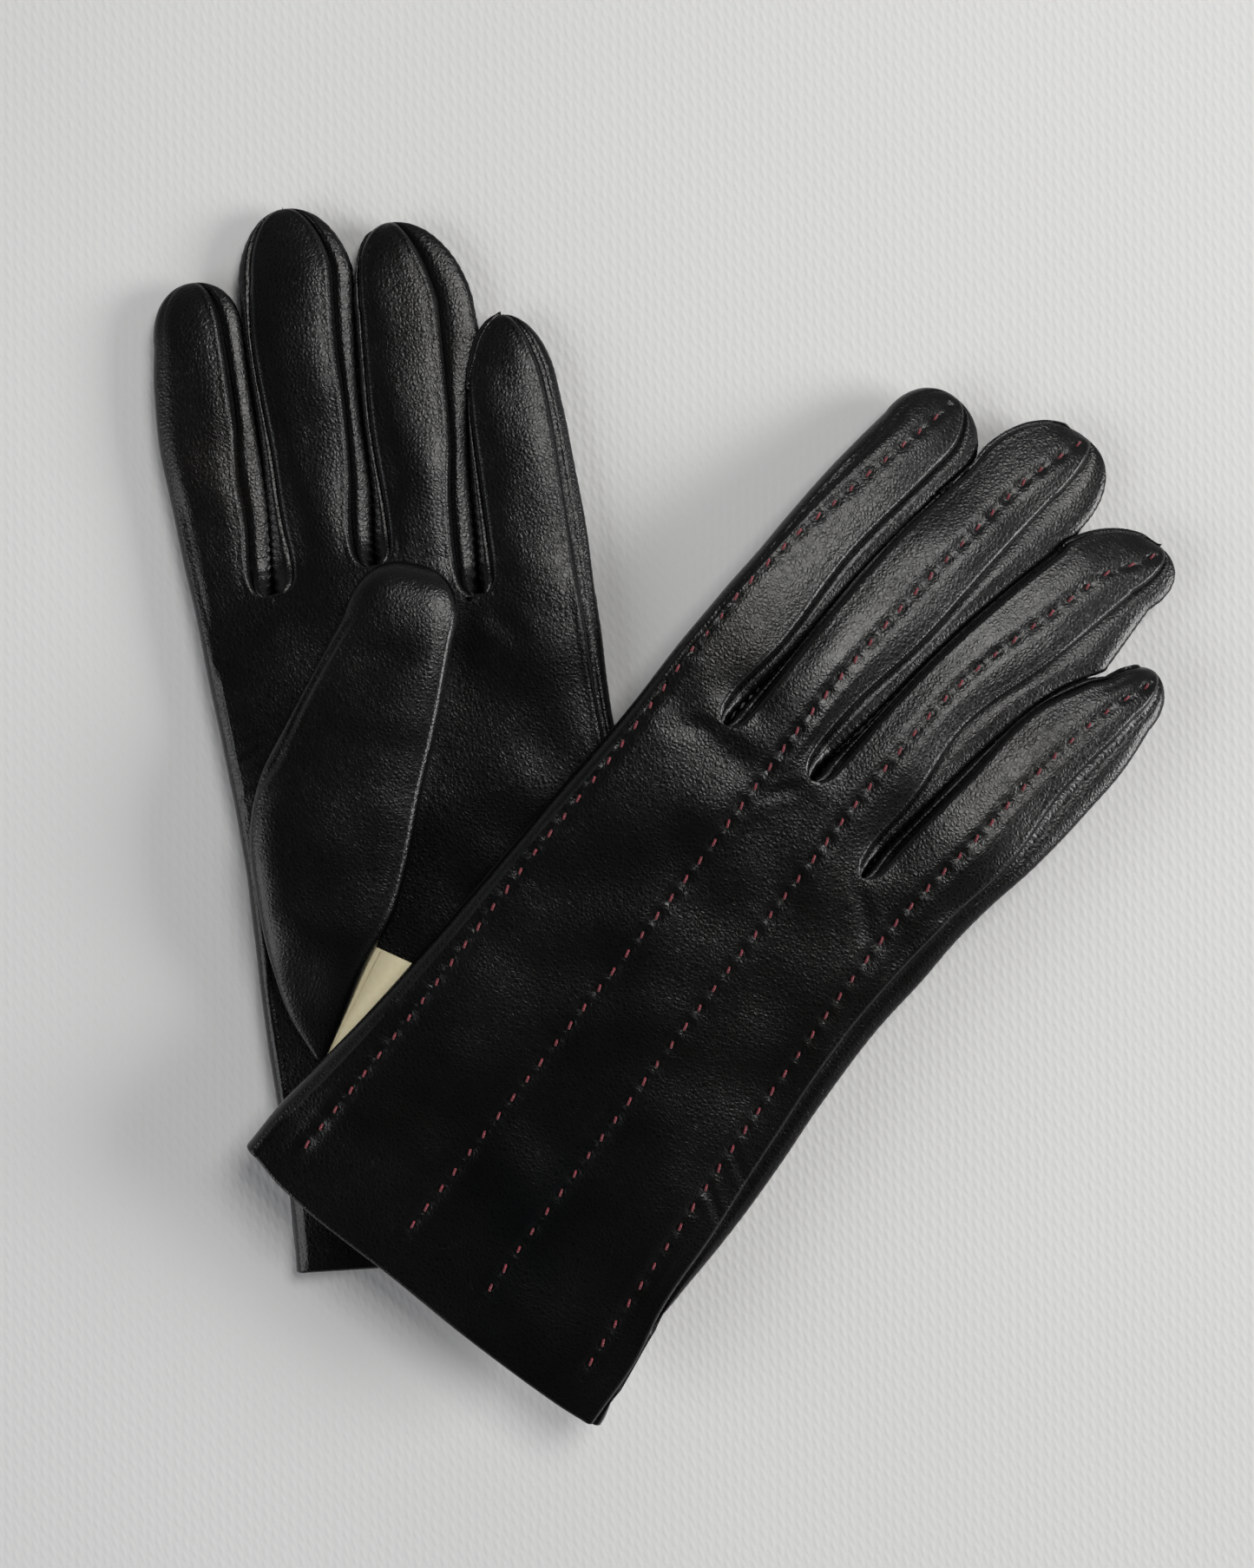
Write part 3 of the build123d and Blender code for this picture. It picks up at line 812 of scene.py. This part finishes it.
class Nodes:
    """A material's node tree, with short calls to add and join nodes."""

    def __init__(self, name):
        self.material = bpy.data.materials.new(name)
        self.material.use_nodes = True
        self.tree = self.material.node_tree
        self.shader = self.tree.nodes["Principled BSDF"]
        self.place = self.add("ShaderNodeTexCoord").outputs["Object"]

    def add(self, kind, inputs=(), **settings):
        """A new node, with its inputs set or joined and its settings made."""
        node = self.tree.nodes.new(kind)
        for key, value in settings.items():
            setattr(node, key, value)
        for key, value in dict(inputs).items():
            if isinstance(value, bpy.types.NodeSocket):
                self.tree.links.new(value, node.inputs[key])
            else:
                node.inputs[key].default_value = value
        return node

    def math(self, operation, a, b):
        """The outcome of a sum on two values."""
        return self.add("ShaderNodeMath", {0: a, 1: b}, operation=operation).outputs[0]

    def noise(self, scale, detail):
        """Cloudy values on the object."""
        inputs = {"Vector": self.place, "Scale": scale, "Detail": detail}
        return self.add("ShaderNodeTexNoise", inputs).outputs["Fac"]

    def bands(self, direction, scale, distortion):
        """Wavy bands across the object."""
        inputs = {"Vector": self.place, "Scale": scale, "Distortion": distortion}
        settings = {"wave_type": "BANDS", "bands_direction": direction}
        return self.add("ShaderNodeTexWave", inputs, **settings).outputs["Fac"]

    def ramp(self, value, low, high, start=0.0, end=1.0):
        """The value moved from the range low to high into the range start to end."""
        inputs = {"Value": value, "From Min": low, "From Max": high, "To Min": start, "To Max": end}
        return self.add("ShaderNodeMapRange", inputs).outputs["Result"]

    def colours(self, value, *stops):
        """A blend of colours by value, from stops (value, colour)."""
        node = self.add("ShaderNodeValToRGB", {"Fac": value})
        while len(node.color_ramp.elements) < len(stops):
            node.color_ramp.elements.new(0.5)
        for element, (at, colour) in zip(node.color_ramp.elements, stops):
            element.position = at
            element.color = (*colour, 1)
        return node.outputs["Color"]

    def bump(self, height, strength, distance):
        """The normal of a surface raised by height."""
        inputs = {"Height": height, "Strength": strength, "Distance": distance}
        return self.add("ShaderNodeBump", inputs).outputs["Normal"]

    def finish(self, **sockets):
        """The material, with the shader's sockets set or joined."""
        for key, value in sockets.items():
            socket = self.shader.inputs[key.replace("_", " ")]
            if isinstance(value, bpy.types.NodeSocket):
                self.tree.links.new(value, socket)
            else:
                socket.default_value = value
        return self.material


def leather_material():
    """Black glove leather: a fine pebble grain, a soft sheen, and faint warm and cool patches."""
    n = Nodes("black_leather")
    drift = n.add("ShaderNodeTexNoise", {"Vector": n.place, "Scale": 500.0, "Detail": 2.0}).outputs["Color"]
    shift = n.add("ShaderNodeVectorMath", {0: drift, 1: (0.0011, 0.0011, 0.0011)}, operation="MULTIPLY")
    warped = n.add("ShaderNodeVectorMath", {0: n.place, 1: shift.outputs[0]}, operation="ADD").outputs[0]
    cells = n.add("ShaderNodeTexVoronoi", {"Vector": warped, "Scale": 1050.0}, feature="DISTANCE_TO_EDGE")
    pebbles = n.ramp(cells.outputs["Distance"], 0.0, 0.42)
    fine = n.noise(3600.0, 2.0)
    grain = n.math("ADD", pebbles, n.math("MULTIPLY", fine, 0.06))
    worn = n.noise(38.0, 3.0)
    depth = n.ramp(worn, 0.3, 0.7, 0.55, 1.0)
    normal = n.bump(n.math("MULTIPLY", grain, depth), 0.85, 0.00007)
    colour = n.colours(
        n.noise(22.0, 3.0),
        (0.25, (0.0008, 0.0012, 0.0014)),
        (0.55, (0.0014, 0.0014, 0.0012)),
        (0.80, (0.0026, 0.0021, 0.0016)),
    )
    rough = n.math("ADD", n.ramp(worn, 0.3, 0.7, 0.22, 0.29), n.ramp(pebbles, 0.0, 1.0, 0.05, -0.01))
    return n.finish(Base_Color=colour, Roughness=rough, Normal=normal, Specular_IOR_Level=0.36)


def thread_material():
    """Twisted red sewing thread."""
    n = Nodes("red_thread")
    twist = n.bands("DIAGONAL", 900.0, 2.0)
    colour = n.colours(twist, (0.0, (0.08, 0.004, 0.009)), (1.0, (0.27, 0.016, 0.034)))
    return n.finish(Base_Color=colour, Roughness=0.5, Normal=n.bump(twist, 0.5, 0.0001),
                    Sheen_Weight=0.3, Specular_IOR_Level=0.45)


def lining_material():
    """Charcoal knitted lining."""
    n = Nodes("knit_lining")
    knit = n.math("MULTIPLY", n.bands("X", 260.0, 1.5), n.bands("Y", 420.0, 2.0))
    colour = n.colours(knit, (0.0, (0.012, 0.012, 0.014)), (1.0, (0.045, 0.043, 0.045)))
    return n.finish(Base_Color=colour, Roughness=0.9, Normal=n.bump(knit, 0.6, 0.0003), Sheen_Weight=0.4)


def paper_material():
    """Cream paper with faint fibres."""
    n = Nodes("cream_paper")
    fibres = n.noise(900.0, 4.0)
    colour = n.colours(fibres, (0.2, (0.84, 0.74, 0.46)), (0.8, (0.93, 0.85, 0.60)))
    return n.finish(Base_Color=colour, Roughness=0.75, Normal=n.bump(fibres, 0.2, 0.00005),
                    Specular_IOR_Level=0.3)


def floor_material():
    """Pale matt board with a barely raised diagonal tooth."""
    n = Nodes("pale_board")
    lines = n.math("MULTIPLY", n.bands("DIAGONAL", 190.0, 1.5), n.bands("X", 150.0, 1.5))
    tooth = n.math("ADD", lines, n.noise(900.0, 3.0))
    cloud = n.noise(6.0, 2.0)
    colour = n.colours(cloud, (0.3, (0.66, 0.66, 0.655)), (0.7, (0.69, 0.69, 0.685)))
    return n.finish(Base_Color=colour, Roughness=0.8, Normal=n.bump(tooth, 0.3, 0.0002),
                    Specular_IOR_Level=0.2)


# Camera, light and floor


def add_camera():
    """The camera, looking straight down on the gloves."""
    data = bpy.data.cameras.new("camera")
    data.sensor_fit = "AUTO"
    data.sensor_width = SENSOR
    data.lens = SENSOR * SEEN_DISTANCE / SEEN_HEIGHT
    data.clip_start, data.clip_end = 0.01, 20
    camera = bpy.data.objects.new("camera", data)
    camera.location = Vector(CAMERA_AT) * MM
    bpy.context.scene.collection.objects.link(camera)
    bpy.context.scene.camera = camera


def add_light(name, place, size, power, colour):
    """A rectangular light that faces the gloves."""
    data = bpy.data.lights.new(name, "AREA")
    data.shape, data.size, data.size_y = "RECTANGLE", size[0], size[1]
    data.energy, data.color = power, colour
    light = bpy.data.objects.new(name, data)
    light.location = place
    light.rotation_euler = (-Vector(place)).to_track_quat("-Z", "Y").to_euler()
    bpy.context.scene.collection.objects.link(light)


def add_room():
    """A pale room that is dark overhead, and its lights."""
    world = bpy.data.worlds.new("room")
    world.use_nodes = True
    tree = world.node_tree
    place = tree.nodes.new("ShaderNodeTexCoord").outputs["Generated"]
    parts = tree.nodes.new("ShaderNodeSeparateXYZ")
    tree.links.new(place, parts.inputs[0])
    sky = tree.nodes.new("ShaderNodeValToRGB")
    low, high = sky.color_ramp.elements
    low.color, high.color, high.position = ROOM_LOW, ROOM_HIGH, ROOM_HIGH_FROM
    tree.links.new(parts.outputs["Z"], sky.inputs["Fac"])
    tree.links.new(sky.outputs["Color"], tree.nodes["Background"].inputs["Color"])
    bpy.context.scene.world = world
    bpy.context.scene.view_settings.view_transform = "Standard"
    for light in LIGHTS:
        add_light(*light)


def add_floor():
    """The board that the gloves lie on."""
    bm = bmesh.new()
    bmesh.ops.create_grid(bm, x_segments=2, y_segments=2, size=FLOOR_HALF)
    mesh = bpy.data.meshes.new("floor")
    bm.to_mesh(mesh)
    bm.free()
    mesh.materials.append(floor_material())
    floor = bpy.data.objects.new("floor", mesh)
    floor.location.z = -FLOOR_DROP
    bpy.context.scene.collection.objects.link(floor)


# The two gloves, as they lie

# Creases: from, to, width, depth and bend. Mounds: u, v, half width, half length and height.
LEFT_FOLDS = [
    ((-45, 117), (-36, 121), 0.9, 0.25),
    ((-45, 121), (-35, 124), 0.8, 0.20),
    ((-45, 109), (-38, 112), 0.8, 0.22),
    ((-29, 150), (-40, 143), 1.8, 0.16, 0.6),
    ((21, 142), (27, 133), 2.2, 0.14, -0.5),
]
LEFT_MOUNDS = [
    (-38, 134, 8, 9, 0.45),
    (30, 134, 9, 12, 0.45),
    (8, 118, 14, 12, -0.35),
    (-14, 172, 6, 10, 0.25),
    (9, 188, 7, 14, 0.35),
    (34, 176, 6, 12, 0.25),
]
RIGHT_FOLDS = [
    ((-25, 139), (-34, 131), 1.5, 0.16, 0.8),
    ((-2, 140), (-8, 131), 1.3, 0.14, 0.6),
    ((23, 130), (31, 121), 1.5, 0.18, -0.8),
    ((44, 62), (37, 66), 1.0, 0.16),
    ((44, 52), (36, 57), 0.9, 0.14),
    ((-30, 11), (-26, 16), 0.8, 0.16),
    ((-4, 9), (0, 13), 0.7, 0.16),
]
RIGHT_MOUNDS = [
    (-15, 124, 6, 8, 0.85),
    (-22, 137, 16, 4, -0.45),
    (12, 128, 7, 9, 0.55),
    (-34, 122, 7, 12, 0.35),
    (33, 118, 7, 9, 0.45),
    (-14, 168, 6, 14, 0.40),
    (14, 166, 6, 14, 0.40),
    (39, 160, 6, 14, 0.35),
    (-10, 60, 16, 22, -0.40),
    (24, 70, 9, 18, 0.35),
    (-32, 50, 10, 20, 0.35),
    (20, 20, 14, 10, -0.50),
    (-32, 22, 12, 9, 0.90),
    (4, 32, 10, 9, 0.70),
    (-8, 92, 12, 11, 0.60),
    (30, 44, 8, 13, 0.60),
]


def left_glove():
    """The left glove, palm up below. Its back, with its points rows, lies on the board."""
    half = smooth_line([(0, 4.2), (60, 4.4), (150, 4.4), (170, 4.1), (245, 4.0)])
    mid = smooth_line([(0, 4.35), (60, 4.5), (150, 4.5), (170, 4.2), (245, 4.1)])
    edges = (
        [(-51.7, 0), (-50, 20), (-48.8, 45), (-48.3, 62), (-47.3, 74), (-46.2, 100), (-46.3, 123),
         (-46.9, 148), (-47.8, 177), (-48.2, 197), (-47.1, 209), (-45.5, 217)],
        [(50.5, 0), (47, 50), (44.6, 100), (44.3, 120), (45.5, 139), (46.6, 159), (46.3, 180), (45.6, 200)],
    )
    gaps = (
        [(-26, 175), (-25.1, 190), (-24.5, 205), (-23.7, 224)],
        [(-1.4, 175), (0.1, 198), (2.0, 215), (3.6, 227.6)],
        [(20.5, 160), (22.5, 180), (25.5, 195), (30.3, 207)],
    )
    seams = (
        [(-32.1, 160), (-30.9, 173), (-30.7, 185), (-29.3, 197), (-28.5, 213)],
        [(-22.7, 160.5), (-23, 172), (-22.5, 188), (-21.9, 218), (-20.5, 228)],
        [(-7.4, 163), (-4.9, 181), (-3.5, 197), (-2.6, 213), (-0.6, 229)],
        [(0.7, 162.5), (1.3, 190), (3, 208), (4.6, 222)],
        [(15.5, 151.5), (16.5, 168.5), (19.3, 184), (20.8, 200), (22.1, 216)],
        [(22.8, 151.5), (23.8, 171), (24.7, 189), (25.9, 201)],
        [(45.5, 0), (43.5, 50), (41.8, 100), (41.6, 121), (42.3, 141), (42.6, 160), (42.9, 194), (42.4, 200)],
    )
    tips = (
        (217, (-34, 230.8), 2.1),
        (224, (-9.9, 243.9), 2.05),
        (216, (14.0, 236.3), 2.0),
        (194, (35.8, 210.4), 1.85),
    )
    cuff = [(-52, 0.1), (-42, -1.0), (-31, -2.2), (0, -3), (52, -2)]
    crotches = [(-28, 154.5), (-3.5, 157), (19.2, 146.1)]
    outline = edges, (148.0, 141.0), cuff, crotches, gaps
    place, leather = ((-34.33, -98.67), 10.5), (LEFT_FOLDS, LEFT_MOUNDS, 11)
    return Glove("left", "bottom", place, outline, (seams, None, tips), (mid, half), leather)


def right_glove():
    """The right glove, back up across the left one, with its fingers drooping to the board."""
    half = smooth_line([(0, 4.3), (60, 4.5), (150, 4.5), (170, 4.1), (250, 4.0)])
    mid = smooth_line([(0, 18.6), (60, 19.0), (125, 19.2), (145, 19.2), (158, 18.8), (172, 17.3), (190, 14.6),
                 (210, 10.8), (230, 6.6), (250, 4.1)])
    edges = (
        [(-51.4, 0), (-51, 12), (-49.2, 26), (-46.5, 56), (-45, 91), (-43, 127), (-42.8, 150),
         (-41.9, 174.5), (-40.4, 200), (-37.8, 222)],
        [(50.6, 0), (48.1, 9.5), (46.5, 18.4), (46.8, 33), (47, 66), (46.1, 86), (45.7, 108), (46.7, 120),
         (48.6, 144), (51.9, 160), (53.8, 173), (55.1, 190), (54.6, 202)],
    )
    gaps = (
        [(-21.2, 163), (-19.6, 190), (-16.5, 213), (-13.8, 226)],
        [(2, 161), (4.8, 183), (9.5, 207), (15, 226)],
        [(23.5, 150), (27.2, 174), (34.2, 198), (38.5, 204.5)],
    )
    seams = (
        [(-25.9, 146), (-24.1, 163), (-24.1, 190), (-21.1, 213), (-19.4, 226)],
        [(-20.9, 147), (-20.2, 174.5), (-18.2, 202), (-14.5, 224.5)],
        [(-3.4, 149), (-2.8, 161), (0.9, 183), (3, 207), (5.6, 231)],
        [(2.2, 149), (4.6, 178), (8.5, 200), (13.6, 221)],
        [(19.6, 138.5), (20.6, 153), (20.1, 174), (27.3, 198), (33, 222)],
        [(23.9, 139), (27, 165), (30.6, 188), (38.6, 203)],
        [(48.6, 0), (47.9, 16), (45.5, 28), (44.2, 49), (42.4, 71.5), (40.7, 95.5), (41.4, 120),
         (43.3, 136.5), (46.7, 155), (46.6, 177), (49.7, 197), (50.4, 203)],
    )
    rows = (
        [(-40.7, 6), (-39.8, 50), (-40.1, 89), (-39.5, 120), (-39.8, 150), (-38.2, 178), (-32.6, 206),
         (-26.6, 233)],
        [(-10.8, 9), (-10.1, 62), (-9.4, 119), (-9.8, 153), (-8.4, 181), (-4.5, 216), (0.1, 245.6)],
        [(11.5, 11), (10.6, 68), (10.4, 123), (10.7, 153.5), (13, 181), (21, 210), (28.5, 234)],
        [(40.1, 2.5), (37.9, 31), (34.7, 86), (34, 133), (36.5, 155), (41, 187), (47.7, 211)],
    )
    tips = (
        (222, (-26.8, 235.2), 2.1),
        (229, (3.2, 246.6), 2.2),
        (223, (31.8, 236.7), 2.1),
        (200, (47.6, 211.8), 1.9),
    )
    cuff = [(-52, 0.9), (-29.9, -1.7), (-9.8, -1.9), (20.1, -2.4), (38.7, -1.8), (52, -0.9)]
    crotches = [(-23.6, 141), (-0.6, 143), (21.6, 132.6)]
    outline = edges, (141.0, 134.0), cuff, crotches, gaps
    place, leather = ((-53.43, -107.97), -37.5), (RIGHT_FOLDS, RIGHT_MOUNDS, 23)
    return Glove("right", "top", place, outline, (seams, rows, tips), (mid, half), leather)


def build_all():
    """The whole picture: camera, room, board, both gloves and the tag."""
    add_camera()
    add_room()
    add_floor()
    skins = {"leather": leather_material(), "lining": lining_material(), "thread": thread_material()}
    for glove in (left_glove(), right_glove()):
        build_hand(glove, skins)
        for k in range(4):
            build_finger(glove, k, skins)
        build_points(glove, skins)
        build_thumb(glove, skins)
    build_tag(paper_material())


build_all()
